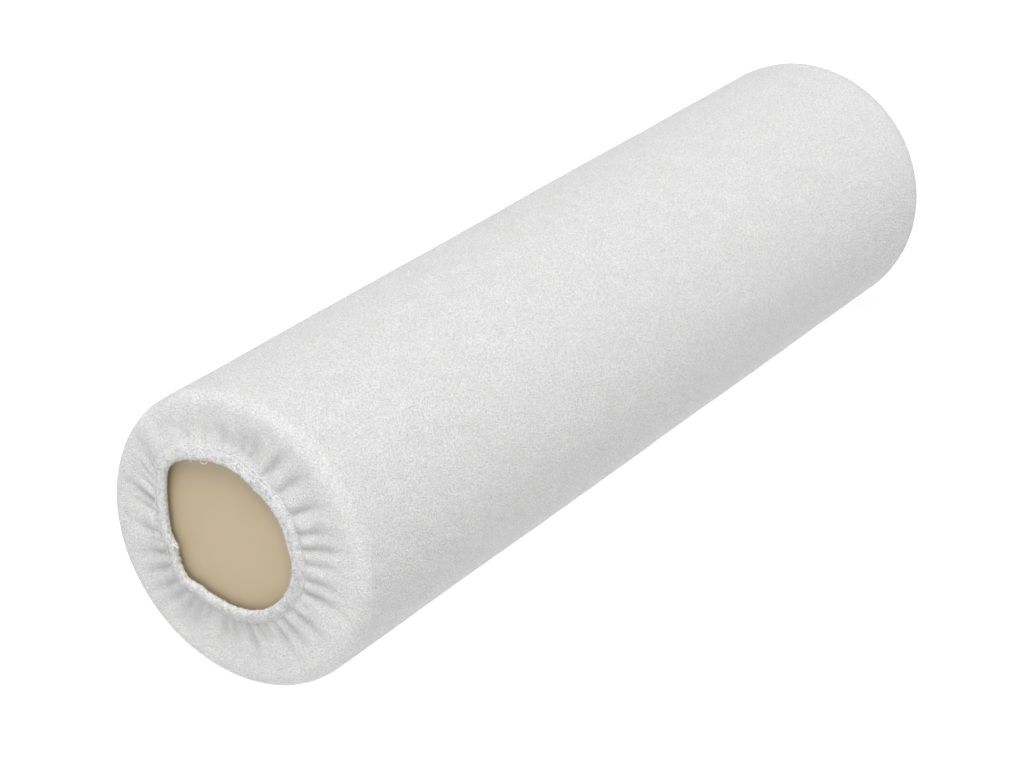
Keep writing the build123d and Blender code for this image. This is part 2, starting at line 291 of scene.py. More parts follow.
def crease_depth(end, angles, radii, out):
    """From 0, on a pad, to 1, in the bottom of a crease. out is measured from the stitching."""
    left = np.ones_like(angles)
    for c in end.creases:
        share = np.clip(out / (c.run * MM), 0, 1.2)
        middle = math.radians(c.degrees) + math.radians(c.lean) * share
        away = (angles - middle + math.pi) % (2 * math.pi) - math.pi
        width = CREASE_WIDTH * c.width * (0.8 + 0.35 * abs(c.depth) + 0.7 * share)
        near = np.exp(1 - np.sqrt(1 + (1.9 * away * radii / width) ** 2))
        fade = 1 - ease((share - 0.25) / 0.85)
        start = ease(1 + (out + 0.5 * MM) / (3.5 * MM))
        left *= 1 - c.depth * near * fade * start
    return 1 - left


def over_case(end, path, lift, start):
    """Height over the face and distance from the axis, at a distance along the skin.

    The skin runs out across the flat face from a start radius, and then round the edge."""
    flat = case_radius - end.edge
    reach = end.edge + terry
    turn_start = np.arcsin(np.clip((start - flat) / reach, 0, 1))
    walk = np.where(start < flat, start - flat, reach * turn_start) + path
    turn = np.clip(walk / reach, 0, math.pi / 2)
    power = CORNER if end is FRONT else 1.0
    out = np.where(walk < 0, flat + walk, flat + (reach + lift) * np.sin(turn) ** power)
    along = np.where(walk < 0, terry + lift, (reach + lift) * np.cos(turn) ** power - end.edge)
    return along, out


def path_length(end, start):
    """How long the skin is from a start radius on the face to the tube."""
    flat = case_radius - end.edge
    reach = end.edge + terry
    turn = np.arcsin(np.clip((start - flat) / reach, 0, 1))
    return np.maximum(flat - start, 0) + reach * (math.pi / 2 - turn)


# ------------------------------------------------------------------ the cover's rows of points
def hem_rows(end, angles, rim):
    """The rows of the rolled hem, from its underside, round the rim, out to the stitching."""
    run = hem_run(angles)
    rows = []
    middle = HEM_UNDER + HEM_HALF
    for turn in np.radians(np.linspace(-90, 90, 11)):
        depth = HEM_HALF * (1 - math.cos(turn))
        sink = crease_depth(end, angles, rim + run, depth - run)
        rise = middle + HEM_HALF * math.sin(turn) * (1 - 0.12 * sink)
        rows.append(place(end, rise, rim + depth, angles))
    for share in np.linspace(0.12, 1, 9):
        depth = HEM_HALF + share * (run - HEM_HALF)
        sink = crease_depth(end, angles, rim + depth, depth - run)
        line = place(end, 0, rim + depth, angles)
        pucker = 0.3 * MM * lumps(line, 2.4 * MM, end.seed + 1)
        pull = 0.65 * (1 - fullness(angles))
        round_off = share ** (2 - 0.6 * fullness(angles))
        fall = groove_depth(angles) * ((1 - pull) * round_off + pull * math.exp(-(((share - 1) / 0.22) ** 2)))
        # The fourth number is painted shade: darker in the creases and towards the groove that the stitching
        # pulls in.
        crease_shade = np.maximum(0.5 * sink, 0.5 * (1 - fullness(angles)) * ease((share - 0.75) / 0.25))
        rise = hem_top - fall - 0.8 * MM * sink + pucker * share
        rows.append(place(end, rise, rim + depth, angles, crease_shade))
    return rows


def skin_rows(end, angles, rim):
    """The rows from the hem's stitching, over the gathers and the rounded edge, to the tube."""
    start = rim + hem_run(angles)
    length = path_length(end, start)
    groove = hem_top - groove_depth(angles) - terry
    rows = []
    for share in np.concatenate([np.linspace(0, 0.1, 6)[1:], np.linspace(0.1, 1, 40)[1:]]):
        path = share * length
        sink = crease_depth(end, angles, np.minimum(start + path, cover_radius), path)
        full = fullness(angles)
        near = (1 - full) * (1 - ease(path / HEM_FALL)) + full * np.clip(1 - path / HEM_FALL, 0, 1) ** 2
        rise = ease(path / (3 * MM))
        swell = rise * (1 - ease((path - 3 * MM) / GATHER_RUN))
        puff = PUFF * (1 - 0.9 * full)
        lift = groove * near + puff * swell - CREASE * sink * (0.35 + 0.65 * rise)
        along, out = over_case(end, path, lift, start)
        # The fourth number is painted shade: darker in the creases and just below the hem, where shade falls.
        crease_shade = np.maximum(sink, 0.5 * (1 - full) * (1 - ease(path / (2.5 * MM))))
        rows.append(place(end, along, out, angles, crease_shade))
    return rows


def lining_rows(end, angles, rim):
    """The rows of the cloth's inner side, from the tube's end in to the hem's raw edge."""
    run = hem_run(angles)
    flat = case_radius - end.edge
    reach = end.edge + LINING_GAP
    rows = []
    for turn in np.radians(np.linspace(90, 0, 5)):
        out = flat + reach * math.sin(turn)
        rows.append(place(end, reach * math.cos(turn) - end.edge, out + 0 * angles, angles))
    tunnel_top = hem_top - 1.4 * MM
    tunnel_floor = HEM_UNDER + CLOTH
    for depth, rise in (
        (run + HEM_FALL * 0.9, LINING_GAP),
        (run + 7 * MM, 1.0 * MM),
        (run + 2.5 * MM, 2.4 * MM),
        (run + 0.3 * MM, HEM_UNDER + CLOTH + 0.1 * MM),
        (run - 0.8 * MM, tunnel_top - 1.0 * MM),
        (run - 2.2 * MM, tunnel_top),
        (1.7 * MM, tunnel_top),
        (1.3 * MM, tunnel_top - 0.4 * MM),
        (1.3 * MM, tunnel_floor + 0.3 * MM),
        (1.7 * MM, tunnel_floor),
        (run + 0.5 * MM, tunnel_floor),
        (run + 0.5 * MM, HEM_UNDER),
    ):
        rows.append(place(end, rise, rim + depth, angles))
    return rows


def tube_rows(start, stop, radius, count, rows):
    """Rings along the tube between two places, both left out."""
    angles = ring(count)
    away = np.minimum(count * 1.0 - np.arange(count), np.arange(count)) * 2 * math.pi * radius / count
    dip = SEAM_DIP * np.exp(-((away / SEAM_DIP_WIDTH) ** 2)) if radius >= cover_radius else 0.0
    out = radius - dip
    found = []
    for x in np.linspace(start, stop, rows + 2)[1:-1]:
        points = [x, out * np.cos(angles), axis_height + out * np.sin(angles), 0.0]
        found.append(np.stack([np.broadcast_to(p, angles.shape) for p in points], axis=1))
    return found


# ------------------------------------------------------------------ rows of points to meshes
def strip(low, high, first, second):
    """Faces between two rings of points. The second has as many points, half or twice as many.

    Each corner is (index, share of the way round)."""
    if second == 2 * first:
        return [tuple(reversed(face)) for face in strip(high, low, second, first)]
    faces = []
    if first == second:
        for i in range(first):
            a, b, j = i / first, (i + 1) / first, (i + 1) % first
            faces.append(((low + i, a), (low + j, b), (high + j, b), (high + i, a)))
        return faces
    for i in range(second):
        a, m, b = 2 * i / first, (2 * i + 1) / first, (2 * i + 2) / first
        j, k = (i + 1) % second, (2 * i + 2) % first
        faces.append(((low + 2 * i, a), (low + 2 * i + 1, m), (high + i, a)))
        faces.append(((low + 2 * i + 1, m), (low + k, b), (high + j, b), (high + i, a)))
    return faces


def link(name, mesh):
    """A new object that holds a mesh."""
    piece = bpy.data.objects.new(name, mesh)
    bpy.context.scene.collection.objects.link(piece)
    return piece


def shell(name, rows, closed=True):
    """A mesh object from rings of points, with a UV map in metres along and round the cloth.

    The rings themselves make a closed loop, so that the shell is a solid wall."""
    starts = np.concatenate([[0], np.cumsum([len(row) for row in rows])[:-1]]).astype(int)
    steps = [0.0]
    for a, b in zip(rows, rows[1:]):
        gaps = a[:: len(a) // 8, :3] - b[:: len(b) // 8, :3]
        steps.append(steps[-1] + float(np.linalg.norm(gaps, axis=1).mean()))
    steps.append(steps[-1] + terry)
    faces, marks = [], []
    for i in range(len(rows) if closed else len(rows) - 1):
        j = (i + 1) % len(rows)
        for face in strip(starts[i], starts[j], len(rows[i]), len(rows[j])):
            faces.append([int(index) for index, share in face])
            for index, share in face:
                step = steps[i] if starts[i] <= index < starts[i] + len(rows[i]) else steps[i + 1]
                marks.append((step, share * 2 * math.pi * cover_radius))
    mesh = bpy.data.meshes.new(name)
    points = np.concatenate(rows)
    mesh.from_pydata(points[:, :3].tolist(), [], faces)
    # The fourth numbers become a point attribute of painted shade, which the terry's colour reads.
    crease_shade_layer = mesh.attributes.new("crease_shade", "FLOAT", "POINT")
    crease_shade_layer.data.foreach_set("value", np.clip(points[:, 3], 0, 1).astype(np.float32))
    mesh.uv_layers.new(name="cloth").data.foreach_set("uv", np.array(marks, np.float32).ravel())
    mesh.shade_smooth()
    return link(name, mesh)


def close_poles(piece):
    """Joins the points of the smallest rings into one point at the middle."""
    work = bmesh.new()
    work.from_mesh(piece.data)
    bmesh.ops.remove_doubles(work, verts=work.verts, dist=POLE_MERGE)
    work.to_mesh(piece.data)
    work.free()


def soften(piece, count):
    """Small lumps and long soft swells in the outer side's pile, and the flat where it rests."""
    mesh = piece.data
    points = np.zeros(len(mesh.vertices) * 3, np.float32)
    normals = np.zeros(len(mesh.vertices) * 3, np.float32)
    mesh.vertices.foreach_get("co", points)
    mesh.vertices.foreach_get("normal", normals)
    points, normals = points.reshape(-1, 3), normals.reshape(-1, 3)
    outer = points[:count].astype(float)
    lift = sum(
        height * MM * lumps(outer, size, seed)
        for height, size, seed in ((0.30, 0.09, 1), (0.16, 0.028, 2), (0.12, 0.008, 3), (0.10, 0.003, 5))
    )
    points[:count] += normals[:count] * lift[:, None]
    points[:, 2] = np.maximum(points[:, 2], 0)
    mesh.vertices.foreach_set("co", points.ravel())
    mesh.update()


def make_cover():
    """The terry cover: hems, gathers, tube, and the lining that lies on the case."""
    angles = ring(COLUMNS)
    outer, lining = {}, {}
    for end in ENDS:
        rim = mouth_radius(end, angles)
        outer[end] = hem_rows(end, angles, rim) + skin_rows(end, angles, rim)
        lining[end] = lining_rows(end, angles, rim)
    tube = tube_rows(FRONT.tube_end, REAR.tube_end, cover_radius, COLUMNS // 2, TUBE_ROWS)
    inside = case_radius + LINING_GAP
    near_rear = tube_rows(REAR.tube_end, REAR.tube_end - 24 * MM, inside, COLUMNS // 2, 1)
    near_front = tube_rows(FRONT.tube_end, FRONT.tube_end + 24 * MM, inside, COLUMNS // 2, 1)
    middle = tube_rows(REAR.tube_end - 24 * MM, FRONT.tube_end + 24 * MM, inside, COLUMNS // 4, 6)
    skin = outer[FRONT] + tube + outer[REAR][::-1]
    rows = skin + lining[REAR][::-1] + near_rear + middle + near_front + lining[FRONT]
    cover = shell("terry_cover_cloth", rows)
    soften(cover, sum(len(row) for row in skin))
    return cover


# ------------------------------------------------------------------ geometry trees
class Tree:
    """A geometry tree in the making, with one named input for each size."""

    def __init__(self, name, **sizes):
        self.sizes = sizes
        self.group = bpy.data.node_groups.new(name, "GeometryNodeTree")
        sockets = self.group.interface
        sockets.new_socket("Base", in_out="INPUT", socket_type="NodeSocketGeometry")
        sockets.new_socket("Made", in_out="OUTPUT", socket_type="NodeSocketGeometry")
        for label, size in sizes.items():
            kind = "NodeSocketInt" if isinstance(size, int) else "NodeSocketFloat"
            sockets.new_socket(label, in_out="INPUT", socket_type=kind)
        self.inputs = self.group.nodes.new("NodeGroupInput").outputs
        self.output = self.group.nodes.new("NodeGroupOutput").inputs[0]

    def node(self, kind, settings=None, values=None, out=0):
        """Adds a node: its settings first, then the values or links of its sockets."""
        made = self.group.nodes.new(kind)
        for key, value in (settings or {}).items():
            setattr(made, key, value)
        for key, value in (values or {}).items():
            if isinstance(value, bpy.types.NodeSocket):
                self.group.links.new(value, made.inputs[key])
            else:
                made.inputs[key].default_value = value
        return made.outputs[out]

    def vector(self, x=0.0, y=0.0, z=0.0):
        return self.node("ShaderNodeCombineXYZ", None, {"X": x, "Y": y, "Z": z})

    def chance(self, low, high, seed):
        """A random number for each point."""
        values = {2: low, 3: high, "Seed": seed}
        return self.node("FunctionNodeRandomValue", {"data_type": "FLOAT"}, values, 1)

    def close(self, geometry, material):
        """Ends the tree: instances are made real, and the material is set."""
        real = self.node("GeometryNodeRealizeInstances", None, {"Geometry": geometry})
        last = self.node("GeometryNodeSetMaterial", None, {"Geometry": real, "Material": material})
        self.group.links.new(last, self.output)

    def make(self, name, base):
        """Runs the tree on a base object, and gives the result as a plain mesh object."""
        modifier = base.modifiers.new(name, "NODES")
        modifier.node_group = self.group
        for socket in self.group.interface.items_tree:
            if socket.in_out == "INPUT" and socket.name in self.sizes:
                modifier[socket.identifier] = self.sizes[socket.name]
        graph = bpy.context.evaluated_depsgraph_get()
        mesh = bpy.data.meshes.new_from_object(base.evaluated_get(graph), depsgraph=graph)
        mesh.shade_smooth()
        bpy.data.objects.remove(base)
        return link(name, mesh)


def line_object(lines):
    """An object of edges along each list of points. A line whose ends meet is closed."""
    points, edges = [], []
    for line, closed in lines:
        first = len(points)
        points += [tuple(map(float, p[:3])) for p in line]
        edges += [(i, i + 1) for i in range(first, len(points) - 1)]
        if closed:
            edges.append((len(points) - 1, first))
    mesh = bpy.data.meshes.new("line")
    mesh.from_pydata(points, edges, [])
    return link("line", mesh)


def stitch_tree(material, pitch, length, thread):
    """Running stitches along lines: a short thread, rounded at both ends, at each pitch."""
    tree = Tree("running_stitches", Pitch=pitch, Stitch=length, Thread=thread, Seed=3)
    curve = tree.node("GeometryNodeMeshToCurve", None, {"Mesh": tree.inputs["Base"]})
    points = tree.node(
        "GeometryNodeCurveToPoints", {"mode": "LENGTH"}, {"Curve": curve, "Length": tree.inputs["Pitch"]}
    ).node
    bead = tree.node("GeometryNodeMeshUVSphere", None, {"Segments": 6, "Rings": 5, "Radius": 0.5})
    thick, long = tree.inputs["Thread"], tree.inputs["Stitch"]
    stitch = tree.node(
        "GeometryNodeTransform", None, {"Geometry": bead, "Scale": tree.vector(thick, thick, long)}
    )
    seed = tree.inputs["Seed"]
    tilt = tree.vector(tree.chance(-0.12, 0.12, seed), tree.chance(-0.12, 0.12, seed), 0.0)
    turned = tree.node(
        "FunctionNodeRotateRotation",
        {"rotation_space": "LOCAL"},
        {"Rotation": points.outputs["Rotation"], "Rotate By": tilt},
    )
    values = {"Points": points.outputs["Points"], "Instance": stitch, "Rotation": turned}
    tree.close(tree.node("GeometryNodeInstanceOnPoints", None, values), material)
    return tree


def loop_tree(material, density):
    """Terry loops that stand on a surface, each a bent thread of its own size and turn."""
    tree = Tree("terry_loops", Density=density, Loop=0.36 * MM, Thread=0.13 * MM, Seed=11)
    seed = tree.inputs["Seed"]
    spread = tree.node(
        "GeometryNodeDistributePointsOnFaces",
        None,
        {"Mesh": tree.inputs["Base"], "Density": tree.inputs["Density"], "Seed": seed},
    ).node
    arc = tree.node(
        "GeometryNodeCurveArc",
        None,
        {"Resolution": 5, "Radius": tree.inputs["Loop"], "Start Angle": -0.5, "Sweep Angle": math.pi + 1.0},
    )
    section = tree.node(
        "GeometryNodeCurvePrimitiveCircle", None, {"Resolution": 3, "Radius": tree.inputs["Thread"]}
    )
    thread = tree.node("GeometryNodeCurveToMesh", None, {"Curve": arc, "Profile Curve": section})
    upright = tree.node(
        "GeometryNodeTransform", None, {"Geometry": thread, "Rotation": (math.pi / 2, 0.0, 0.0)}
    )
    lean = tree.vector(
        tree.chance(-0.9, 0.9, seed), tree.chance(-0.9, 0.9, 12), tree.chance(0.0, 6.28, 13)
    )
    turned = tree.node(
        "FunctionNodeRotateRotation",
        {"rotation_space": "LOCAL"},
        {"Rotation": spread.outputs["Rotation"], "Rotate By": lean},
    )
    values = {
        "Points": spread.outputs["Points"],
        "Instance": upright,
        "Rotation": turned,
        "Scale": tree.chance(0.6, 1.3, 14),
    }
    tree.close(tree.node("GeometryNodeInstanceOnPoints", None, values), material)
    return tree


def ladder_tree(material):
    """Overlock stitches over a seam: slanted threads across it, at each pitch."""
    tree = Tree("ladder_stitches", Pitch=2.4 * MM, Across=5.0 * MM, Thread=0.42 * MM, Slant=0.45)
    curve = tree.node("GeometryNodeMeshToCurve", None, {"Mesh": tree.inputs["Base"]})
    points = tree.node(
        "GeometryNodeCurveToPoints", {"mode": "LENGTH"}, {"Curve": curve, "Length": tree.inputs["Pitch"]}
    ).node
    bead = tree.node("GeometryNodeMeshUVSphere", None, {"Segments": 6, "Rings": 7, "Radius": 0.5})
    thick, across = tree.inputs["Thread"], tree.inputs["Across"]
    bar = tree.node(
        "GeometryNodeTransform", None, {"Geometry": bead, "Scale": tree.vector(thick, across, thick)}
    )
    lean = tree.vector(seam_angle, 0.0, 0.0)
    slanted = tree.node(
        "GeometryNodeTransform",
        None,
        {"Geometry": bar, "Rotation": tree.vector(0.0, 0.0, tree.inputs["Slant"])},
    )
    facing = tree.node("GeometryNodeTransform", None, {"Geometry": slanted, "Rotation": lean})
    values = {"Points": points.outputs["Points"], "Instance": facing}
    tree.close(tree.node("GeometryNodeInstanceOnPoints", None, values), material)
    return tree


# ------------------------------------------------------------------ shader maths
class Value:
    """A shader socket. Sums and products with it add Math nodes to its material."""

    def __init__(self, finish, socket):
        self.finish = finish
        self.socket = socket

    def maths(self, operation, first, second=0.0):
        return self.finish.node("Math", {"operation": operation}, {0: first, 1: second})

    def __add__(self, other):
        return self.maths("ADD", self, other)

    def __mul__(self, other):
        return self.maths("MULTIPLY", self, other)

    def __sub__(self, other):
        return self.maths("SUBTRACT", self, other)

    def __rsub__(self, other):
        return self.maths("SUBTRACT", other, self)

    __radd__ = __add__
    __rmul__ = __mul__


class Finish:
    """A material in the making, and the shader that its nodes feed."""

    def __init__(self, name, **constants):
        self.material = bpy.data.materials.new(name)
        self.material.use_nodes = True
        self.tree = self.material.node_tree
        self.shader = self.tree.nodes["Principled BSDF"]
        for socket, value in constants.items():
            self.shader.inputs[socket.replace("_", " ")].default_value = value

    def feed(self, socket, value):
        if isinstance(value, Value):
            self.tree.links.new(value.socket, socket)
        else:
            socket.default_value = value

    def node(self, kind, settings=None, values=None, out=0):
        """Adds a node: its settings first, then the values or links of its sockets."""
        made = self.tree.nodes.new("ShaderNode" + kind)
        for key, value in (settings or {}).items():
            setattr(made, key, value)
        for key, value in (values or {}).items():
            self.feed(made.inputs[key], value)
        return Value(self, made.outputs[out])

    def mix(self, factor, first, second):
        """A colour between two colours."""
        return self.node("Mix", {"data_type": "RGBA"}, {0: factor, 6: first, 7: second}, 2)

    def noise(self, place, scale, detail=3.0, roughness=0.5):
        values = {"Vector": place, "Scale": scale, "Detail": detail, "Roughness": roughness}
        return self.node("TexNoise", None, values)

    def bump(self, height, strength, distance, under=None):
        values = {"Height": height, "Strength": strength, "Distance": distance}
        if under:
            values["Normal"] = under
        return self.node("Bump", None, values)

    def colour(self, value):
        self.feed(self.shader.inputs["Base Color"], value)

    def roughness(self, value):
        self.feed(self.shader.inputs["Roughness"], value)

    def normal(self, value):
        self.feed(self.shader.inputs["Normal"], value)


def rgb(red, green, blue):
    return (red, green, blue, 1.0)


def terry_finish():
    """White cotton terry: fine slanted loops, which lie this way and that in patches, with painted shade in
    the creases.
    """
    f = Finish("terry", Sheen_Weight=0.2, Sheen_Roughness=0.6, Specular_IOR_Level=0.12)
    where = f.node("TexCoord", None, None, 3)
    swirl = f.node("TexNoise", None, {"Vector": where, "Scale": 60.0, "Detail": 1.0}, 1)
    bent = f.node("VectorMath", {"operation": "MULTIPLY_ADD"}, {0: swirl, 1: (0.004,) * 3, 2: where})
    piles = []
    for turn, scale in (((0.5, 0.3, 0.9), 1300.0), ((-0.4, 0.8, -0.6), 1600.0)):
        values = {"Vector": bent, "Rotation": turn, "Scale": (2.4, 1.0, 1.0)}
        laid = f.node("Mapping", {"vector_type": "TEXTURE"}, values)
        piles.append(f.noise(laid, scale, 2.0, 0.6))
    patches = f.noise(where, 160, 2)
    pile = piles[0] * patches + piles[1] * (1 - patches)
    shade = f.node("MapRange", None, {"Value": pile, "From Min": 0.40, "From Max": 0.60})
    open_pile = f.mix(shade, rgb(0.585, 0.585, 0.583), rgb(0.80, 0.80, 0.798))
    # Painted shade: the colour is darkened towards grey in the creases and by the hem's stitching, where
    # shade falls.
    crease_shade = f.node("Attribute", {"attribute_name": "crease_shade"}, None, 2)
    f.colour(f.mix(crease_shade * 0.65, open_pile, rgb(0.50, 0.50, 0.498)))
    f.roughness(0.92)
    broad = f.bump(f.noise(where, 260, 2), 0.3, 0.0008)
    f.normal(f.bump(pile, 1.0, 0.0014, broad))
    return f.material


def vinyl_finish():
    """Beige coated fabric with a fine grain and a soft sheen."""
    f = Finish("vinyl", Specular_IOR_Level=0.35, Coat_Roughness=0.5)
    where = f.node("TexCoord", None, None, 3)
    grain = f.node("TexVoronoi", {"feature": "F1"}, {"Vector": where, "Scale": 1500.0})
    mottle = f.noise(where, 30, 3)
    f.colour(f.mix(mottle, rgb(0.475, 0.385, 0.252), rgb(0.520, 0.423, 0.280)))
    f.roughness(mottle * 0.12 + 0.44)
    f.normal(f.bump(grain, 0.25, 0.0002, f.bump(mottle, 0.25, 0.001)))
    return f.material


def foam_finish():
    """Cream open-cell foam."""
    f = Finish("foam", Specular_IOR_Level=0.1)
    where = f.node("TexCoord", None, None, 3)
    cells = f.node("TexVoronoi", {"feature": "F1"}, {"Vector": where, "Scale": 900.0})
    f.colour(f.mix(cells, rgb(0.86, 0.80, 0.60), rgb(0.70, 0.62, 0.42)))
    f.roughness(0.95)
    f.normal(f.bump(cells, 0.8, 0.0008))
    return f.material


def thread_finish(name, light, dark):
    """Twisted sewing thread."""
    f = Finish(name, Specular_IOR_Level=0.25, Sheen_Weight=0.2)
    where = f.node("TexCoord", None, None, 3)
    values = {"Vector": where, "Scale": 700.0, "Distortion": 1.0}
    twist = f.node("TexWave", {"bands_direction": "DIAGONAL"}, values)
    f.colour(f.mix(twist, dark, light))
    f.roughness(0.75)
    f.normal(f.bump(twist, 0.5, 0.0001))
    return f.material


def webbing_finish(name, light, dark, ribs):
    """Woven tape or elastic: fine ribs across it."""
    f = Finish(name, Specular_IOR_Level=0.2, Sheen_Weight=0.1)
    where = f.node("TexCoord", None, None, 3)
    rib = f.node("TexWave", {"bands_direction": "X"}, {"Vector": where, "Scale": ribs, "Distortion": 0.4})
    weave = f.node("TexWave", {"bands_direction": "Z"}, {"Vector": where, "Scale": ribs * 1.3})
    both = rib * 0.5 + weave * 0.5
    f.colour(f.mix(both, dark, light))
    f.roughness(0.85)
    f.normal(f.bump(both, 0.6, 0.0002))
    return f.material


def zip_row_finish():
    """Moulded nylon elements."""
    f = Finish("zip_row", Specular_IOR_Level=0.4)
    where = f.node("TexCoord", None, None, 3)
    flow = f.noise(where, 400, 2)
    f.colour(f.mix(flow, rgb(0.44, 0.36, 0.25), rgb(0.50, 0.42, 0.30)))
    f.roughness(flow * 0.15 + 0.38)
    f.normal(f.bump(flow, 0.15, 0.0001))
    return f.material


def zip_metal_finish():
    """Nickel-plated cast zinc with light handling marks."""
    f = Finish("zip_metal", Metallic=1.0)
    where = f.node("TexCoord", None, None, 3)
    marks = f.noise(where, 900, 4, 0.7)
    f.colour(f.mix(marks, rgb(0.55, 0.53, 0.50), rgb(0.70, 0.69, 0.66)))
    f.roughness(marks * 0.25 + 0.22)
    f.normal(f.bump(marks, 0.15, 0.00005))
    return f.material


# ------------------------------------------------------------------ pieces
def dress(piece, material):
    """Gives a piece its material in every slot."""
    if not piece.data.materials:
        piece.data.materials.append(material)
    for slot in piece.material_slots:
        slot.material = material


def declare(piece, slot, *nodes):
    """The piece rides on the roll and stands for these CAD nodes. The slot is not used."""
    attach(piece, BODY)
    if nodes:
        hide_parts(*nodes)


FINISHES = {
    "terry": terry_finish(),
    "vinyl": vinyl_finish(),
    "foam": foam_finish(),
    "case_thread": thread_finish("case_thread", rgb(0.58, 0.49, 0.35), rgb(0.40, 0.33, 0.23)),
    "cover_thread": thread_finish("cover_thread", rgb(0.88, 0.88, 0.87), rgb(0.70, 0.70, 0.69)),
    "elastic": webbing_finish("elastic", rgb(0.80, 0.79, 0.76), rgb(0.62, 0.61, 0.58), 500),
    "zip_tape": webbing_finish("zip_tape", rgb(0.55, 0.46, 0.33), rgb(0.42, 0.35, 0.24), 700),
    "zip_row": zip_row_finish(),
    "zip_metal": zip_metal_finish(),
}
for part in frame["record"]["subparts"]:
    dress(frame["nodes"][part["node"]], FINISHES[part["material_slot"]])


# ------------------------------------------------------------------ elastic, stitching, threads
def hem_line(end, depth, rise):
    """Points round the hem, at a distance from the rim and a height over the end panel."""
    angles = ring(COLUMNS // 2)
    return place(end, rise, mouth_radius(end, angles) + depth, angles)


def make_elastic(end):
    """The flat elastic in the hem's tunnel, which follows the mouth's uneven line."""
    angles = ring(COLUMNS // 2)
    middle = (hem_top - 1.4 * MM + HEM_UNDER + CLOTH) / 2
    inner, outer, half = 1.9 * MM, 5.6 * MM, 0.4 * MM
    rim = mouth_radius(end, angles)
    corners = ((inner, -half), (outer, -half), (outer, half), (inner, half))
    rows = [place(end, middle + rise, rim + depth, angles) for depth, rise in corners]
    if end is FRONT:
        rows.reverse()
    band = shell(f"{end.name}_elastic_band", rows)
    dress(band, FINISHES["elastic"])
    declare(band, "elastic", f"{end.name}_hem_elastic")


def make_hem_stitches(end):
    """The hem's stitching: a thread in the outer groove, and one under the hem."""
    run = hem_run(ring(COLUMNS // 2))
    outside = hem_line(end, run, hem_top - groove_depth(ring(COLUMNS // 2)) + 0.05 * MM)
    under = hem_line(end, run - 0.3 * MM, HEM_UNDER - 0.05 * MM)
    tree = stitch_tree(FINISHES["cover_thread"], 3.0 * MM, 2.7 * MM, 0.42 * MM)
    stitches = tree.make(f"{end.name}_hem_stitches", line_object([(outside, True), (under, True)]))
    declare(stitches, "cover_thread", f"{end.name}_hem_thread")


def make_hem_loops(end):
    """Terry loops that stand out of the hem's rim and make its edge uneven."""
    angles = ring(COLUMNS)
    rim = mouth_radius(end, angles)
    rows = hem_rows(end, angles, rim)[1:-3]
    if end is REAR:
        rows.reverse()
    base = shell("hem_surface", rows, closed=False)
    loops = loop_tree(FINISHES["terry"], 0.45e6).make(f"{end.name}_hem_loops", base)
    declare(loops, "terry")


def make_side_seam():
    """The overlock stitching of the cover's side seam."""
    out = cover_radius - SEAM_DIP + 0.15 * MM
    y, z = out * math.cos(seam_angle), axis_height + out * math.sin(seam_angle)
    start, stop = FRONT.tube_end + 1 * MM, REAR.tube_end - 1 * MM
    line = [(x, y, z) for x in np.linspace(start, stop, 40)]
    stitches = ladder_tree(FINISHES["cover_thread"]).make("side_seam_stitches", line_object([(line, False)]))
    declare(stitches, "cover_thread", "cover_side_seam_thread")


def make_loose_threads():
    """Thread ends and a pulled loop at the front mouth's rim.

    Each point is degrees round from +Y, millimetres from the axis and millimetres over the hem's
    middle."""
    middle = (hem_top + HEM_UNDER) / 2
    threads = (
        (
            "pulled_loop",
            0.17,
            ((68, 45.6, 1), (69, 44.0, 1.6), (71, 43.2, 1.8), (73, 43.1, 1.4), (74.5, 44.6, 1)),
        ),
        ("top_tuft", 0.2, ((60, 46.9, 0.6), (60.3, 45.9, 0.9), (60.6, 45.2, 1.0))),
        ("side_tuft", 0.2, ((114, 38.8, 0.6), (114.3, 38.0, 0.9), (114, 37.4, 1.0))),
        ("thread_end", 0.27, ((346, 38.2, 0.6), (345, 36.4, 1.6), (343.5, 35.2, 1.8), (342.5, 34.2, 1.4))),
        ("thread_tail", 0.24, ((343, 37.6, 0.6), (344.5, 36.2, 1.4), (346.5, 35.6, 1.3))),
    )
    made = []
    for name, radius, points in threads:
        curve = bpy.data.curves.new(name, "CURVE")
        curve.dimensions = "3D"
        curve.bevel_depth = radius * MM
        curve.bevel_resolution = 2
        curve.use_fill_caps = True
        spline = curve.splines.new("NURBS")
        spline.points.add(len(points) - 1)
        for point, (degrees, out, rise) in zip(spline.points, points):
            spot = place(FRONT, middle + rise * MM, np.array([out * MM]), np.radians([degrees]))[0]
            point.co = (*spot[:3], 1)
        spline.order_u = 3
        spline.use_endpoint_u = True
        thread = link(name, curve)
        mesh = bpy.data.meshes.new_from_object(thread)
        bpy.data.objects.remove(thread)
        made.append(link(name, mesh))
    with bpy.context.temp_override(active_object=made[0], selected_editable_objects=made):
        bpy.ops.object.join()
    threads = made[0]
    threads.name = "front_loose_threads"
    threads.data.shade_smooth()
    dress(threads, FINISHES["cover_thread"])
    declare(threads, "cover_thread")


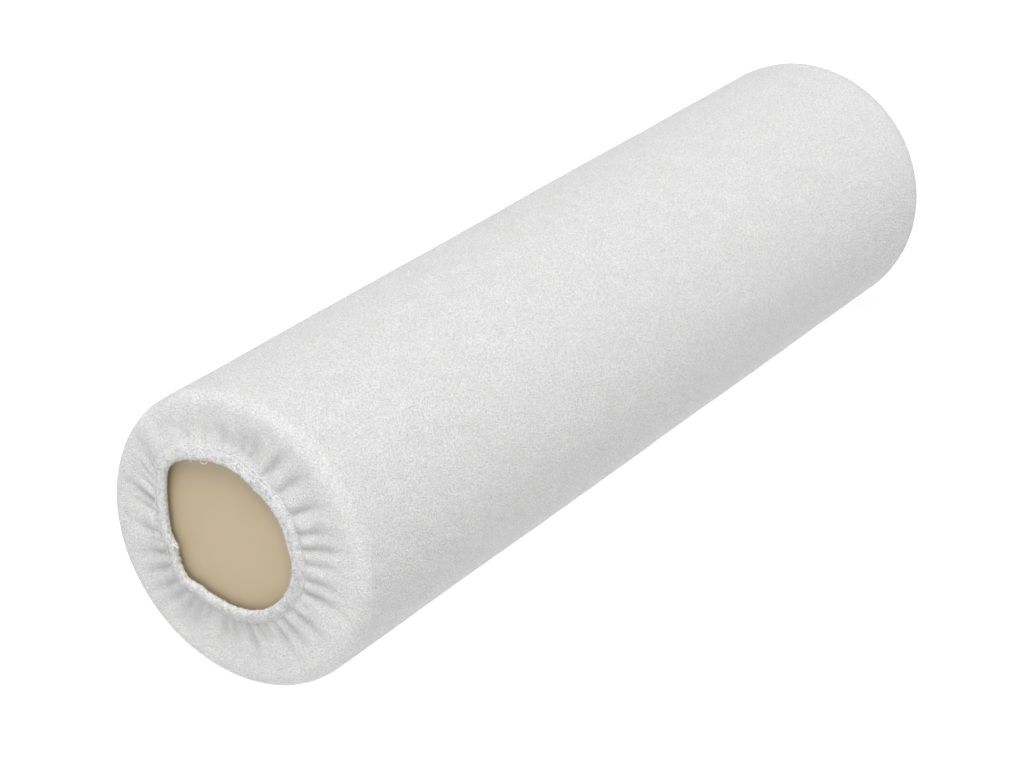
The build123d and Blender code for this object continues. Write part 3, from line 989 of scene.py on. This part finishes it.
# ------------------------------------------------------------------ the case's end panels
def make_end_panel(end):
    """The round end panel, crowned by the foam behind it, with its edge turned in at the seam."""
    count = 96
    angles = ring(count)
    flat = case_radius - end.edge

    def rows_at(depth, angle_stop):
        found = []
        for out in np.linspace(POLE, 1, 16):
            swell = CROWN * (1 - out**2) ** 1.2
            dimple = 0.25 * MM * lumps(place(end, 0, flat * out + 0 * angles, angles), 0.03, 9)
            found.append(place(end, swell + dimple * (1 - out) - depth, flat * out + 0 * angles, angles))
        reach = end.edge - depth
        for turn in np.radians(np.linspace(8, angle_stop, 6)):
            out = flat + reach * math.sin(turn)
            found.append(place(end, reach * math.cos(turn) - end.edge, out + 0 * angles, angles))
        return found

    outer = rows_at(0, 45)
    inner = rows_at(vinyl, 45)
    rows = outer + inner[::-1]
    if end is REAR:
        rows.reverse()
    panel = shell(f"{end.name}_end_panel_vinyl", rows)
    close_poles(panel)
    dress(panel, FINISHES["vinyl"])
    declare(panel, "vinyl", f"vinyl_{end.name}_end_panel")


cover = make_cover()
dress(cover, FINISHES["terry"])
declare(cover, "terry", "terry_cover")

for end in ENDS:
    make_end_panel(end)
    make_elastic(end)
    make_hem_stitches(end)
    make_hem_loops(end)
make_side_seam()
make_loose_threads()


# ------------------------------------------------------------------ floor, light, camera
def make_stage():
    """A white floor that the roll lies on."""
    bpy.ops.mesh.primitive_plane_add(size=12, location=(0, 0, -0.2 * MM))
    floor = bpy.context.object
    floor.name = "floor"
    f = Finish("floor", Specular_IOR_Level=0.0, Roughness=1.0)
    where = f.node("TexCoord", None, None, 3)
    f.colour(f.mix(f.noise(where, 3), rgb(0.25, 0.25, 0.25), rgb(0.27, 0.27, 0.27)))
    f.shader.inputs["Emission Color"].default_value = rgb(1, 1, 1)
    f.shader.inputs["Emission Strength"].default_value = 0.86
    dress(floor, f.material)


def sun(name, way, strength, spread):
    """A soft light from a direction, as from a large softbox a long way off."""
    lamp = bpy.data.lights.new(name, "SUN")
    lamp.energy = strength
    lamp.angle = math.radians(spread)
    light = link(name, lamp)
    light.rotation_euler = Vector(way).to_track_quat("Z", "Y").to_euler()


def make_light():
    world = bpy.data.worlds.new("studio")
    bpy.context.scene.world = world
    world.use_nodes = True
    world.node_tree.nodes["Background"].inputs["Color"].default_value = rgb(1, 1, 1)
    world.node_tree.nodes["Background"].inputs["Strength"].default_value = 0.32
    sun("overhead", (-0.3, -0.2, 1), 3.1, 40)
    sun("front", (-1.0, 0.1, 0.5), 0.26, 50)
    bpy.context.scene.view_settings.view_transform = "Standard"


def make_camera():
    camera = bpy.data.objects.new("camera", bpy.data.cameras.new("camera"))
    bpy.context.scene.collection.objects.link(camera)
    azimuth, elevation = math.radians(-56.8), math.radians(24.8)
    back = Vector(
        (
            math.sin(azimuth) * math.cos(elevation),
            -math.cos(azimuth) * math.cos(elevation),
            math.sin(elevation),
        )
    )
    aim = Vector((-0.0573, 0, 0.0678))
    camera.location = aim + 1.642 * back
    camera.rotation_euler = (-back).to_track_quat("-Z", "Y").to_euler()
    camera.data.lens = 105
    camera.data.clip_start, camera.data.clip_end = 0.05, 50
    bpy.context.scene.camera = camera


make_stage()
make_light()
make_camera()
